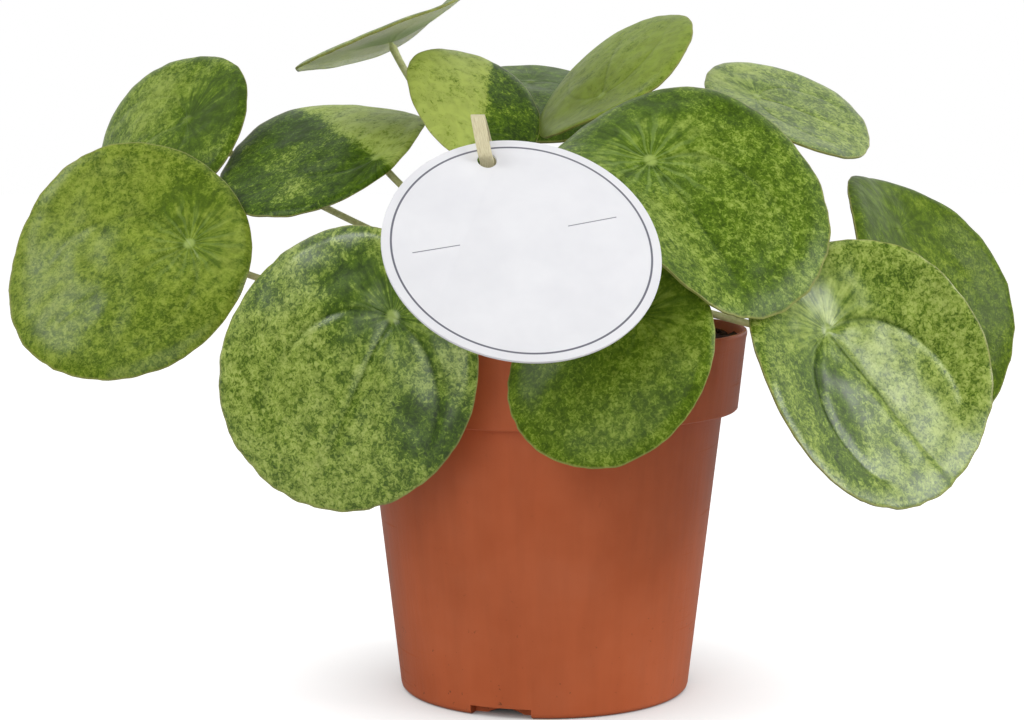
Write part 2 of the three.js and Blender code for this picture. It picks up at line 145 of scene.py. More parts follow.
# Every leaf. heart is where the stalk meets the blade, and facing the way that its upper face
# looks, in degrees from the front towards +X and above the level. turn is the tip's turn from
# straight down the slope, and bend how far the blade bends down towards the tip, the base and
# the two sides. base is the share of its length behind the heart. node and rise are where the
# stalk leaves the stem, and thick its radius. nerve turns the midrib. crease is how deep the
# main nerves lie and how dark the painted shade along them is, rays how pale the fine ones are,
# gloss how much the face shines, light how pale the mottling is on the two sides of the midrib,
# mottle how strong it is and tone how yellow. A patch is a place across and along the blade and
# a radius, in leaf lengths, with how much paler it is.
LEAVES = (
    grown(
        "left_high", heart=(-112, 34, 172), facing=(-35, 41), turn=56,
        size=(74, 69), bend=(45, -2, 10, 0), node=113, rise=28,
        rays=0, gloss=0.1, light=(-0.3, 0.1), mottle=0.5, tone=0.5,
        patches=(
            (0, -0.18, 0.2, -1.6), (0.2, 0.15, 0.16, 1.3), (0.36, 0.1, 0.1, 0.6),
            (-0.3, 0.05, 0.15, -0.4))),
    grown(
        "left_far", heart=(-105, -16, 136), facing=(-10, 40), turn=73,
        size=(76, 78), bend=(16, 14, 15, -26), base=0.24, node=111, rise=8,
        nerve=-19, crease=0.45, rays=0.45, light=(0.8, 0.9), mottle=0.34, tone=1,
        patches=((0.43, 0.47, 0.2, 0.4), (-0.37, 0.32, 0.25, -0.5), (0.18, -0.02, 0.16, -1.2))),
    grown(
        "left_flat", heart=(-50, -9, 161), facing=(-35, 53), turn=100,
        size=(67, 66), bend=(0, 4, 1, 31), base=0.12, node=119, rise=40,
        nerve=18, crease=0.2, gloss=0.1, light=(-1.3, 2.4), mottle=0.95, tone=0.35,
        patches=((-0.3, 0.25, 0.1, 1.6), (-0.12, 0.5, 0.1, 1), (0.1, 0.6, 0.16, -1.2))),
    grown(
        "front_left", heart=(-43, -60, 118.5), facing=(-19, 8), turn=46,
        size=(81, 80), bend=(9, 7, 8, 22), base=0.24, node=112, rise=35,
        nerve=-22, crease=0.75, rays=0.3, gloss=1, light=(0.7, 1), mottle=1.0, tone=0.45,
        patches=(
            (-0.38, 0.14, 0.15, -2.4), (0.12, 0.04, 0.16, -1.7), (0.33, 0.02, 0.16, -1.3),
            (-0.12, 0, 0.12, -0.7), (0.42, 0.32, 0.08, -1.4))),
    grown(
        "top_left", heart=(-47, 12, 196), facing=(-90, 75), turn=-108,
        size=(69, 66), bend=(-8, 13, -47, 7), node=127, rise=62,
        gloss=0.2, light=(0.3, 0.3), mottle=0.8, tone=0.3),
    grown(
        "crown_left", heart=(-19, -18, 169.7), facing=(36, 33), turn=191,
        size=(47, 42), bend=(25, 4, 12, -9), base=0.27, node=130, rise=65,
        nerve=20, crease=0.1, light=(2.7, -1.5), mottle=1, tone=0.7,
        patches=((-0.2, 0.1, 0.2, 0.3),)),
    grown(
        "crown_back", heart=(-4, 50, 184), facing=(10, 70), turn=4,
        size=(58, 57), bend=(14, 7, 6, 7), node=129, rise=60,
        crease=0.2, rays=0, light=(-1.6, -1.2), mottle=0.6, tone=0.2,
        patches=((0.2, 0.3, 0.15, 1.0),)),
    grown(
        "crown_right", heart=(17, 0, 179.5), facing=(-52, 41), turn=154,
        size=(57, 57), bend=(20, -34, 15, 7), node=132, rise=70,
        gloss=0.1, light=(2.4, 2.2), mottle=0.2, tone=0.7,
        patches=((-0.29, 0.05, 0.16, 1.8), (0.34, 0.25, 0.16, 1.2))),
    grown(
        "right_large", heart=(29, -43, 161), facing=(12, 40), turn=-40,
        size=(85, 83), bend=(17, 42, 7, -50), base=0.32, node=123, rise=45,
        nerve=16, crease=0.7, rays=0.7, gloss=0.15, light=(-0.1, 0.1), mottle=0.6, tone=0.35,
        patches=(
            (-0.42, 0.02, 0.12, -1.4), (-0.24, -0.17, 0.1, -1.6), (0, -0.22, 0.13, -1.2),
            (0.02, 0.3, 0.1, -0.7), (0.1, 0.55, 0.14, -0.9), (0.2, 0.2, 0.12, 0.8),
            (-0.15, 0.06, 0.11, 0.4))),
    # The three pale patches along right_high's base edge are painted sheen, where its rolled far
    # margin catches the light.
    grown(
        "right_high", heart=(65, 16, 179), facing=(37, 60), turn=-44,
        size=(54, 65), bend=(4, 0, 0, -12), base=0.31, node=124, rise=50,
        crease=0.4, gloss=0.5, light=(0.4, 0.3), mottle=0.85, tone=0.4,
        patches=(
            (0.02, 0.6, 0.15, 0.7), (-0.35, -0.12, 0.12, 1.6), (0, -0.3, 0.12, 1.6),
            (0.35, -0.1, 0.12, 1.6))),
    grown(
        "right_far", heart=(108, 10, 139), facing=(62, 28), turn=4,
        size=(92, 82), bend=(25, 28, -41, 0), base=0.23, node=114, rise=20,
        crease=0.2, rays=0, gloss=0.05, light=(-0.9, -1.3), mottle=0.25, tone=1,
        patches=((-0.28, 0.12, 0.16, 0.5), (-0.1, 0.62, 0.1, 0.5))),
    grown(
        "right_low", heart=(79, -47, 113.2), facing=(39, 21), turn=-27,
        size=(80, 84), bend=(-18, 23, -50, -18), node=111, rise=45,
        crease=1.0, rays=0.4, gloss=0.8, light=(1, 0.4), tone=0.45,
        patches=(
            (0.18, 0.15, 0.15, -1.6), (0.35, 0.35, 0.12, -1.2), (-0.3, 0.02, 0.1, -0.8),
            (-0.05, -0.2, 0.1, -0.5))),
    # front_low's first patch is partly paler blade at the top left and partly a painted sheen spot.
    grown(
        "front_low", heart=(24, -72, 120.3), facing=(-12, 29), turn=31,
        size=(64, 55), bend=(18, 6, 18, 28), base=0.28, node=115, rise=35,
        crease=0.15, gloss=0.1, light=(-0.1, -0.3), mottle=0.4, tone=0.65,
        patches=((-0.2, 0.05, 0.14, 0.6), (0.2, 0.4, 0.16, -0.8), (-0.35, 0.2, 0.12, -0.5))),
    grown(
        "back_right", heart=(42, 46, 146), facing=(130, 54), turn=20,
        size=(66, 64), bend=(18, 6, 8, 8), node=116, rise=40,
        nerve=8, crease=0.6, light=(0.5, -0.3), tone=0.45,
        patches=((0.2, 0.2, 0.15, -1.5), (-0.2, 0.4, 0.15, 0.6))),
    grown(
        "back", heart=(6, 66, 134), facing=(176, 38), turn=-10,
        size=(68, 66), bend=(16, 8, 8, 10), node=120, rise=40,
        nerve=-10, crease=0.6, light=(0.2, 0.3), tone=0.4,
        patches=((-0.25, 0.1, 0.14, -1.6), (0.1, 0.5, 0.15, -0.8), (0.3, 0, 0.12, 0.8))),
    grown(
        "back_left", heart=(-42, 50, 128), facing=(-140, 40), turn=12,
        size=(64, 62), bend=(18, 6, 10, 8), node=115, rise=35,
        crease=0.6, light=(-0.6, 0.7), tone=0.5,
        patches=((-0.2, 0.3, 0.14, 0.8), (0.2, 0.1, 0.1, -1.2))),
    grown(
        "young_front", heart=(6, -10, 153), facing=(20, 52),
        size=(21, 19), bend=(10, 6, -12, -12), base=0.28, node=135, rise=72,
        thick=0.752, light=(0.9, 0.7), mottle=0.6, tone=1.0),
    grown(
        "young_back", heart=(8, 11, 151), facing=(140, 55),
        size=(17, 15), bend=(8, 4, -14, -14), base=0.28, node=136, rise=70,
        thick=0.752, light=(1.0, 0.8), mottle=0.6, tone=1.0),
)


# Modelling helpers


def choose(*pieces):
    bpy.ops.object.select_all(action="DESELECT")
    for piece in pieces:
        piece.select_set(True)
    bpy.context.view_layer.objects.active = pieces[0]


def put_in_scene(name, data):
    piece = bpy.data.objects.new(name, data)
    bpy.context.scene.collection.objects.link(piece)
    return piece


def copy_of(piece):
    return put_in_scene(piece.name, piece.data.copy())


def join(pieces, name):
    choose(*pieces)
    bpy.ops.object.join()
    whole = bpy.context.object
    whole.name = whole.data.name = name
    return whole


def settle(piece, matrix=None):
    """Puts a piece's place into its mesh, so that its object sits at the origin."""
    place = piece.matrix_world if matrix is None else matrix @ piece.matrix_world
    piece.data.transform(place)
    piece.matrix_world = Matrix.Identity(4)
    piece.data.update()


def finish_with(piece, kind, **settings):
    """Adds a modifier to a piece and applies it."""
    choose(piece)
    modifier = piece.modifiers.new(kind.title(), kind)
    for key, value in settings.items():
        setattr(modifier, key, value)
    bpy.ops.object.modifier_apply(modifier=modifier.name)


def soften(piece, width):
    """Rounds the sharp edges of a piece."""
    finish_with(
        piece, "BEVEL", width=width * MM, segments=2, limit_method="ANGLE",
        angle_limit=math.radians(SOFT_EDGE))


def smooth(piece, degrees):
    choose(piece)
    bpy.ops.object.shade_smooth_by_angle(angle=math.radians(degrees))


@contextmanager
def editing(piece):
    """Edit mode, with the whole piece selected."""
    choose(piece)
    bpy.ops.object.mode_set(mode="EDIT")
    bpy.ops.mesh.select_all(action="SELECT")
    yield
    bpy.ops.object.mode_set(mode="OBJECT")


def merge_doubles(piece, mend_normals=True):
    with editing(piece):
        bpy.ops.mesh.remove_doubles(threshold=0.01 * MM)
        if mend_normals:
            bpy.ops.mesh.normals_make_consistent(inside=False)


def pull_rim(rise, spread):
    """Extrudes the selected rim upwards, then draws it in or out about the axis."""
    bpy.ops.mesh.extrude_region_move(TRANSFORM_OT_translate={"value": (0, 0, rise)})
    bpy.ops.transform.resize(value=(spread, spread, 1), center_override=(0, 0, 0))


def pulled(name, profile, segments):
    """A round closed body: a disc pulled up ring by ring along a profile of (radius, height)."""
    radius, height = profile[0]
    bpy.ops.mesh.primitive_circle_add(
        vertices=segments, radius=radius * MM, fill_type="NGON", location=(0, 0, height * MM))
    body = bpy.context.object
    body.name = name
    bpy.ops.object.transform_apply(location=True)
    with editing(body):
        for next_radius, next_height in profile[1:]:
            pull_rim((next_height - height) * MM, next_radius / radius)
            radius, height = next_radius, next_height
    merge_doubles(body)
    return body


def stepped(radius, height, steps):
    """Points of a profile, stepped outwards and upwards from a radius and a height."""
    return [(radius + out, height + up) for out, up in steps]


def rod(radius, height, sides, place=(0, 0, 0)):
    """An upright cylinder round a place."""
    bpy.ops.mesh.primitive_cylinder_add(
        vertices=sides, radius=radius * MM, depth=height * MM, location=Vector(place) * MM)
    cylinder = bpy.context.object
    settle(cylinder)
    return cylinder


def cut(piece, tool):
    finish_with(piece, "BOOLEAN", operation="DIFFERENCE", solver="EXACT", object=tool)
    bpy.data.objects.remove(tool)


def points_of(piece):
    flat = np.empty(len(piece.data.vertices) * 3)
    piece.data.vertices.foreach_get("co", flat)
    return flat.reshape(-1, 3)


def move_points(piece, points):
    piece.data.vertices.foreach_set("co", np.asarray(points).ravel() * MM)
    piece.data.update()


def roughen(piece, height, size, above=-math.inf):
    """Moves the points of a piece in or out along their normals by smooth noise."""
    for vertex in piece.data.vertices:
        if vertex.co.z > above * MM:
            vertex.co += vertex.normal * height * MM * noise.noise(vertex.co / (size * MM))
    piece.data.update()


def write_values(mesh, name, values):
    """Gives each point of a mesh a value, or three."""
    kind, key = ("FLOAT", "value") if values.ndim == 1 else ("FLOAT_VECTOR", "vector")
    mesh.attributes.new(name, kind, "POINT").data.foreach_set(key, values.ravel())


def write_flat_places(mesh, name, places, span):
    """A UV map of flat places, with zero at its middle."""
    corners = np.empty(len(mesh.loops), dtype=int)
    mesh.loops.foreach_get("vertex_index", corners)
    spots = places[corners] / span + 0.5
    mesh.uv_layers.new(name=name).data.foreach_set("uv", spots.ravel())


def dress(piece, node_name, material=None):
    if material:
        piece.data.materials.clear()
        piece.data.materials.append(material)
    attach(piece, "root")
    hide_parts(node_name)


# Material helpers


class Nodes:
    """Short words for putting shader nodes into a material or a group."""

    def __init__(self, tree, material=None):
        self.tree = tree
        self.material = material

    def fill(self, socket, value):
        if isinstance(value, bpy.types.NodeSocket):
            self.tree.links.new(value, socket)
        else:
            socket.default_value = value

    def add(self, kind, sockets=None, family="ShaderNode", **settings):
        node = self.tree.nodes.new(family + kind)
        for key, value in settings.items():
            setattr(node, key, value)
        for key, value in (sockets or {}).items():
            if value is not None:
                self.fill(node.inputs[key], value)
        return node

    def place(self):
        return self.add("TexCoord").outputs["Object"]

    def flat_place(self, name, span):
        """What write_flat_places wrote."""
        spot = self.add("UVMap", uv_map=name).outputs[0]
        centred = self.vector("SUBTRACT", spot, (0.5, 0.5, 0))[0]
        return self.vector("MULTIPLY", centred, (span, span, 0))[0]

    def attribute(self, name):
        return self.add("Attribute", attribute_name=name).outputs

    def group(self, tree, sockets):
        return self.add("Group", sockets, node_tree=tree).outputs

    def math(self, operation, first, second=0.0, third=0.0, clamp=False):
        sockets = {0: first, 1: second, 2: third}
        return self.add("Math", sockets, operation=operation, use_clamp=clamp).outputs[0]

    def product(self, first, *others):
        for other in others:
            first = self.math("MULTIPLY", first, other)
        return first

    def distance(self, first, second):
        return self.math("ABSOLUTE", self.math("SUBTRACT", first, second))

    def vector(self, operation, first, second=(0, 0, 0)):
        return self.add("VectorMath", {0: first, 1: second}, operation=operation).outputs

    def length(self, vector):
        return self.vector("LENGTH", vector)["Value"]

    def along(self, vector, direction):
        return self.vector("DOT_PRODUCT", vector, direction)["Value"]

    def split(self, vector):
        return self.add("SeparateXYZ", {0: vector}).outputs

    def combine(self, *parts):
        return self.add("CombineXYZ", dict(enumerate(parts))).outputs[0]

    def on_circle(self, angle, radius, height=0.0):
        """A place on a circle at an angle, so that noise closes up round it."""
        x = self.product(self.math("COSINE", angle), radius)
        y = self.product(self.math("SINE", angle), radius)
        return self.combine(x, y, height)

    def scale(self, vector, *sizes):
        """A vector stretched so that one unit of noise is a size, or three sizes."""
        sizes = sizes if len(sizes) == 3 else sizes * 3
        return self.vector("MULTIPLY", vector, tuple(1 / (s * MM) for s in sizes))[0]

    def noise(self, vector, detail=2.0, roughness=0.5, distortion=0.0):
        sockets = {
            "Vector": vector, "Scale": 1.0, "Detail": detail, "Roughness": roughness,
            "Distortion": distortion,
        }
        return self.add("TexNoise", sockets).outputs["Fac"]

    def step(self, value, low, high, to_low=0.0, to_high=1.0):
        """A smooth step of a value from low to high."""
        sockets = {"Value": value, 1: low, 2: high, 3: to_low, 4: to_high}
        return self.add("MapRange", sockets, interpolation_type="SMOOTHSTEP").outputs[0]

    def fade(self, value, low, high):
        return self.step(value, low, high, 1.0, 0.0)

    def mix(self, share, first, second, blend="MIX"):
        node = self.add("Mix", data_type="RGBA", blend_type=blend)
        sockets = {socket.name: socket for socket in node.inputs if socket.enabled}
        for name, value in (("Factor", share), ("A", first), ("B", second)):
            self.fill(sockets[name], value)
        return [socket for socket in node.outputs if socket.enabled][0]

    def tint(self, colour, by):
        return self.mix(1.0, colour, by, "MULTIPLY")

    def coat(self, colour, mask, strength, *over):
        """A colour with another over it where the mask is."""
        return self.mix(self.product(mask, strength), colour, shade(*over))

    def ramp(self, value, *stops):
        """Colours along a value, each with its place first."""
        node = self.add("ValToRGB", {"Fac": value})
        elements = node.color_ramp.elements
        while len(elements) < len(stops):
            elements.new(1.0)
        for element, (place, *colour) in zip(elements, stops):
            element.position = place
            element.color = shade(*colour)
        return node.outputs["Color"]

    def bump(self, height, distance, normal=None):
        sockets = {"Height": height, "Distance": distance * MM, "Normal": normal}
        return self.add("Bump", sockets).outputs["Normal"]

    def surface(self, colour, roughness, specular, normal=None, others=None):
        sockets = {
            "Base Color": colour, "Roughness": roughness, "Specular IOR Level": specular,
            "Normal": normal, **(others or {}),
        }
        shader = self.add("BsdfPrincipled", sockets)
        self.add("OutputMaterial", {"Surface": shader.outputs[0]})
        return self.material


def shade(red, green, blue):
    """A colour given as it looks on a screen, from 0 to 255."""
    def linear(part):
        part = part / 255
        return part / 12.92 if part <= 0.04045 else ((part + 0.055) / 1.055) ** 2.4
    return (linear(red), linear(green), linear(blue), 1.0)


def new_material(name):
    material = bpy.data.materials.new(name)
    material.use_nodes = True
    material.node_tree.nodes.clear()
    return Nodes(material.node_tree, material)


def new_group(name, vectors, numbers, results):
    """A group of nodes that turns vectors and numbers into other numbers."""
    tree = bpy.data.node_groups.new(name, "ShaderNodeTree")
    for titles, way, kind in (
            (vectors, "INPUT", "Vector"), (numbers, "INPUT", "Float"), (results, "OUTPUT", "Float")):
        for title in titles:
            tree.interface.new_socket(name=title, in_out=way, socket_type="NodeSocket" + kind)
    nodes = Nodes(tree)
    return tree, nodes, nodes.add("GroupInput", family="Node").outputs


# What a leaf is made of


def nerve_group():
    """Masks of a leaf's nerves, from the blade's own flat coordinates in leaf lengths."""
    tree, nodes, entry = new_group("Leaf nerves", ["Place"], [], ["Nerve", "Ray", "Heart"])
    place = entry["Place"]
    across, along, _ = nodes.split(place)
    reach = nodes.length(place)
    side = nodes.math("DIVIDE", across, NERVE["side"])
    ahead = nodes.math("MULTIPLY_ADD", along, 1 / NERVE["centre"], -1.0)
    oval = nodes.length(nodes.combine(side, ahead))
    from_lateral = nodes.product(nodes.distance(oval, 1.0), NERVE["side"])
    lateral = nodes.product(
        nodes.fade(from_lateral, 0.0, NERVE["line"]), nodes.fade(along, 0.1, 0.5))
    from_midrib = nodes.math("ABSOLUTE", across)
    midrib = nodes.product(
        nodes.fade(from_midrib, 0.0, NERVE["line"]), nodes.fade(along, 0.25, NERVE["midrib"]))
    line = nodes.product(nodes.math("MAXIMUM", lateral, midrib), nodes.step(along, 0.0, 0.02))

    angle = nodes.math("ARCTAN2", across, along)
    sway = nodes.noise(nodes.vector("MULTIPLY", place, (10, 10, 10))[0], 1.0)
    turns = nodes.product(nodes.math("MULTIPLY_ADD", sway, 0.4, angle), RAY["count"])
    longest = nodes.math(
        "MULTIPLY_ADD", nodes.noise(nodes.on_circle(angle, 4.0), 1.0), RAY["long"] - RAY["short"],
        RAY["short"])
    fading = nodes.fade(nodes.math("DIVIDE", reach, longest), 0.45, 1.0)
    ray = nodes.product(nodes.step(nodes.math("SINE", turns), 0.3, 0.9), fading)
    heart = nodes.fade(reach, 0.012, 0.03)
    nodes.add("GroupOutput", {"Nerve": line, "Ray": ray, "Heart": heart}, "Node")
    return tree


def mottle_group():
    """How pale a leaf is at each place: fine specks in broad blotches, streaked near the heart."""
    tree, nodes, entry = new_group(
        "Leaf mottling", ["Object place", "Blade place"], ["Light"], ["Level", "Drift"])
    place = entry["Object place"]
    specks = nodes.noise(nodes.scale(place, 1.05), 2.0, 0.6, 1.0)
    drift = nodes.noise(nodes.scale(place, 3.4), 2.0, 0.5, 0.6)
    blotch = nodes.noise(nodes.scale(place, 9), 3.0, 0.6, 0.6)
    blade = entry["Blade place"]
    across, along, _ = nodes.split(blade)
    angle = nodes.math("ARCTAN2", across, along)
    reach = nodes.length(blade)
    streaks = nodes.noise(nodes.on_circle(angle, 8.0, nodes.product(reach, 8.0)), 2.0, 0.6)
    behind = nodes.step(along, -0.08, 0.12, 0.75, 0.2)
    near_heart = nodes.product(nodes.fade(reach, 0.12, 0.34), behind)
    fine = nodes.math("MULTIPLY_ADD", nodes.math("SUBTRACT", streaks, specks), near_heart, specks)
    level = nodes.math("MULTIPLY_ADD", entry["Light"], 0.16, 0.5)
    for value, weight in ((fine, 1.5), (drift, 0.6), (blotch, 0.5)):
        level = nodes.math("MULTIPLY_ADD", nodes.math("SUBTRACT", value, 0.5), weight, level)
    nodes.add("GroupOutput", {"Level": level, "Drift": drift}, "Node")
    return tree


def leaf_nodes(nodes):
    """The values that both faces of a leaf read: its places, growth, nerves and mottling."""
    place = nodes.place()
    blade = nodes.flat_place("blade", UV_SPAN)
    light, mottle, tone = nodes.split(nodes.attribute("growth")["Vector"])
    crease, rays, gloss = nodes.split(nodes.attribute("marks")["Vector"])
    nerves = nodes.group(NERVES, {"Place": blade})
    mottling = nodes.group(MOTTLING, {"Object place": place, "Blade place": blade, "Light": light})
    return {
        "place": place, "share": nodes.attribute("share")["Fac"],
        "mottle": mottle, "tone": tone, "gloss": gloss,
        "nerve": nodes.product(nerves["Nerve"], crease), "ray": nodes.product(nerves["Ray"], rays),
        "heart": nodes.product(nerves["Heart"], nodes.step(rays, 0.0, 0.15, 0.25, 1.0)),
        "level": mottling["Level"], "drift": mottling["Drift"],
    }


def leaf_face_material():
    nodes = new_material("leaf_face")
    leaf = leaf_nodes(nodes)
    mottled = nodes.ramp(
        leaf["level"], (0.1, 50, 76, 6), (0.22, 64, 94, 10), (0.4, 82, 114, 18),
        (0.5, 100, 130, 30), (0.58, 130, 156, 60), (0.72, 152, 176, 80), (0.88, 176, 196, 108))
    plain = nodes.ramp(leaf["level"], (0.2, 78, 106, 14), (0.5, 100, 130, 28), (0.8, 128, 154, 54))
    green = nodes.mix(leaf["mottle"], plain, mottled)
    yellow = nodes.tint(green, shade(255, 242, 160))
    green = nodes.mix(nodes.product(leaf["tone"], 0.6), green, yellow)
    green = nodes.tint(green, nodes.step(leaf["drift"], 0.3, 0.7, 0.86, 1.06))
    green = nodes.coat(green, leaf["ray"], 0.5, 142, 168, 92)
    # Painted shade: the blade is darkened along the main nerves, standing for the shade that falls
    # in their creases.
    painted_crease_shade = nodes.tint(green, (0.35, 0.42, 0.35, 1))
    green = nodes.mix(nodes.product(leaf["nerve"], 0.85), green, painted_crease_shade)
    green = nodes.coat(green, leaf["heart"], 1.0, 160, 182, 92)
    green = nodes.coat(green, nodes.step(leaf["share"], 0.984, 0.997), 0.7, 156, 156, 88)
    skin = nodes.noise(nodes.scale(leaf["place"], 0.7), 2.0, 0.6)
    puckers = nodes.noise(nodes.scale(leaf["place"], 5))
    normal = nodes.bump(puckers, 0.4, nodes.bump(skin, 0.05))
    normal = nodes.bump(nodes.product(leaf["nerve"], -1.0), 0.2, normal)
    smooth_skin = nodes.math("SUBTRACT", 1.0, leaf["nerve"], clamp=True)
    roughness = nodes.math("MULTIPLY_ADD", puckers, 0.14, 0.36)
    return nodes.surface(green, roughness, 0.12, normal, {
        "Coat Weight": nodes.product(leaf["gloss"], smooth_skin), "Coat Roughness": 0.28,
    })


def leaf_under_material():
    nodes = new_material("leaf_under")
    leaf = leaf_nodes(nodes)
    pale = nodes.ramp(
        leaf["level"], (0.25, 228, 233, 216), (0.5, 238, 241, 230), (0.8, 246, 248, 240))
    pale = nodes.coat(pale, nodes.fade(leaf["share"], 0.12, 0.56), 0.65, 168, 196, 116)
    nerve = nodes.math("MAXIMUM", leaf["nerve"], leaf["ray"])
    pale = nodes.coat(pale, nerve, 0.5, 186, 200, 134)
    pale = nodes.coat(pale, nodes.step(leaf["share"], 0.98, 0.995), 0.5, 176, 182, 128)
    skin = nodes.noise(nodes.scale(leaf["place"], 0.9), 2.0, 0.6)
    return nodes.surface(pale, 0.58, 0.3, nodes.bump(nerve, 0.4, nodes.bump(skin, 0.08)), {
        "Subsurface Weight": 0.5, "Subsurface Radius": (1, 1, 0.5), "Subsurface Scale": 0.8 * MM,
    })


def stalk_material():
    nodes = new_material("leaf_stalk")
    place = nodes.place()
    x, y, _ = nodes.split(place)
    near_stem = nodes.fade(nodes.length(nodes.combine(x, y)), 6 * MM, 34 * MM)
    flecks = nodes.noise(nodes.scale(place, 1.5), 3.0, 0.6)
    green = nodes.ramp(flecks, (0.3, 196, 200, 134), (0.5, 212, 216, 152), (0.7, 226, 228, 172))
    brown = nodes.ramp(flecks, (0.3, 96, 82, 48), (0.5, 118, 104, 60), (0.7, 142, 132, 82))
    colour = nodes.mix(nodes.product(near_stem, 0.7), green, brown)
    return nodes.surface(colour, 0.42, 0.5, nodes.bump(flecks, 0.15))


# The other finishes


def grain_group():
    """Fine unevenness of a surface: a grain height and a slow drift, from 0 to 1."""
    tree, nodes, entry = new_group(
        "Surface grain", ["Place"], ["Grain size", "Drift size"], ["Grain", "Drift"])
    heights = {}
    for name in ("Grain", "Drift"):
        inverse = nodes.math("DIVIDE", 1.0, entry[name + " size"])
        sockets = {0: entry["Place"], "Scale": inverse}
        scaled = nodes.add("VectorMath", sockets, operation="SCALE").outputs[0]
        heights[name] = nodes.noise(scaled, 3.0, 0.6)
    nodes.add("GroupOutput", heights, "Node")
    return tree


def grained(nodes, place, grain_size, drift_size):
    sockets = {"Place": place, "Grain size": grain_size * MM, "Drift size": drift_size * MM}
    grain = nodes.group(GRAIN, sockets)
    return grain["Grain"], grain["Drift"]


def pot_material():
    nodes = new_material("pot_plastic")
    place = nodes.place()
    grain, drift = grained(nodes, place, 0.8, 26)
    clay = nodes.ramp(drift, (0.3, 200, 102, 60), (0.55, 206, 108, 66), (0.8, 210, 114, 74))
    flow = nodes.noise(nodes.scale(place, 5, 5, 60), 2.0, 0.6)
    clay = nodes.tint(clay, nodes.ramp(flow, (0.3, 248, 248, 248), (0.6, 255, 255, 255)))
    specks = nodes.noise(nodes.scale(place, 2.4), 3.0, 0.7)
    low_down = nodes.step(nodes.split(place)[2], 4 * MM, 45 * MM, 0.8, 0.1)
    clay = nodes.coat(clay, nodes.step(specks, 0.66, 0.74), low_down, 96, 58, 40)
    scuffs = nodes.noise(nodes.scale(place, 30, 30, 1.2), 3.0, 0.6)
    scuffed = nodes.product(nodes.step(scuffs, 0.6, 0.7), 0.12)
    roughness = nodes.math("ADD", nodes.math("MULTIPLY_ADD", drift, 0.12, 0.3), scuffed)
    return nodes.surface(clay, roughness, 0.22, nodes.bump(flow, 0.15, nodes.bump(grain, 0.04)))


def soil_material():
    nodes = new_material("potting_mix_crumb")
    grain, drift = grained(nodes, nodes.place(), 0.9, 4)
    dark = nodes.ramp(
        drift, (0.3, 34, 22, 15), (0.5, 58, 39, 26), (0.62, 84, 58, 38), (0.75, 118, 88, 58))
    return nodes.surface(dark, 0.92, 0.25, nodes.bump(grain, 0.5))


def stem_material():
    nodes = new_material("stem_bark")
    place = nodes.place()
    grain, drift = grained(nodes, place, 0.8, 5)
    bark = nodes.ramp(drift, (0.3, 84, 66, 42), (0.5, 112, 92, 60), (0.7, 146, 126, 88))
    young = nodes.step(nodes.split(place)[2], 122 * MM, STEM_TOP * MM)
    bark = nodes.coat(bark, young, 1.0, 138, 148, 76)
    return nodes.surface(bark, 0.7, 0.3, nodes.bump(grain, 0.3))


def printed_rule(nodes, place, start, end):
    """A mask of a thin straight rule from its start to its end, on a flat place."""
    start, end = (Vector((*point, 0)) for point in (start, end))
    direction = (end - start).normalized()
    from_middle = nodes.vector("SUBTRACT", place, (start + end) / 2)[0]
    along = nodes.math("ABSOLUTE", nodes.along(from_middle, direction))
    aside = nodes.math("ABSOLUTE", nodes.along(from_middle, UP.cross(direction)))
    beyond = nodes.math("SUBTRACT", along, (end - start).length / 2)
    return nodes.product(nodes.fade(aside, 0.09, 0.17), nodes.fade(beyond, -0.1, 0.1))


def card_material():
    nodes = new_material("tag_card")
    grain, drift = grained(nodes, nodes.place(), 0.35, 18)
    flat = nodes.flat_place("print", PRINT_SPAN)
    from_ring = nodes.distance(nodes.length(flat), RING_SHARE * TAG["radius"])
    ink = nodes.fade(from_ring, 0.2, 0.34)
    for ends in PRINTED_RULES:
        ink = nodes.math("MAXIMUM", ink, printed_rule(nodes, flat, *ends))
    paper = nodes.ramp(drift, (0.3, 238, 238, 242), (0.7, 246, 246, 249))
    paper = nodes.coat(paper, ink, 1.0, 112, 112, 124)
    return nodes.surface(paper, 0.5, 0.45, nodes.bump(grain, 0.02))


def tape_material():
    nodes = new_material("tie_tape")
    flat = nodes.add("UVMap", uv_map="UVMap").outputs[0]
    fibres = nodes.noise(nodes.vector("MULTIPLY", flat, (34, 16, 1))[0], 3.0, 0.65)
    straw = nodes.ramp(fibres, (0.3, 204, 192, 150), (0.5, 224, 214, 174), (0.7, 238, 232, 200))
    sheen = {"Sheen Weight": 0.2, "Sheen Roughness": 0.4}
    return nodes.surface(straw, 0.6, 0.35, nodes.bump(fibres, 0.2), sheen)


def floor_material():
    """A pale floor lit from below as well, like a studio table, so that it stays near white, with a
    painted contact shadow where its glow dims under what stands close above it.
    """
    nodes = new_material("pale_floor")
    seen = nodes.add("LightPath").outputs["Is Camera Ray"]
    # Painted shadow: ambient occlusion dims the floor's glow, so that it darkens under and around
    # the pot.
    ao_for_painted_shadow = nodes.add("AmbientOcclusion", {"Distance": 60 * MM}).outputs["AO"]
    glow = nodes.product(seen, FLOOR["glow"], ao_for_painted_shadow)
    others = {"Emission Color": (1, 1, 1, 1), "Emission Strength": glow}
    return nodes.surface(FLOOR["colour"], 0.9, 0.1, None, others)


NERVES = nerve_group()
MOTTLING = mottle_group()
GRAIN = grain_group()
LEAF_MATERIALS = (leaf_face_material(), leaf_under_material(), stalk_material())


# The pot


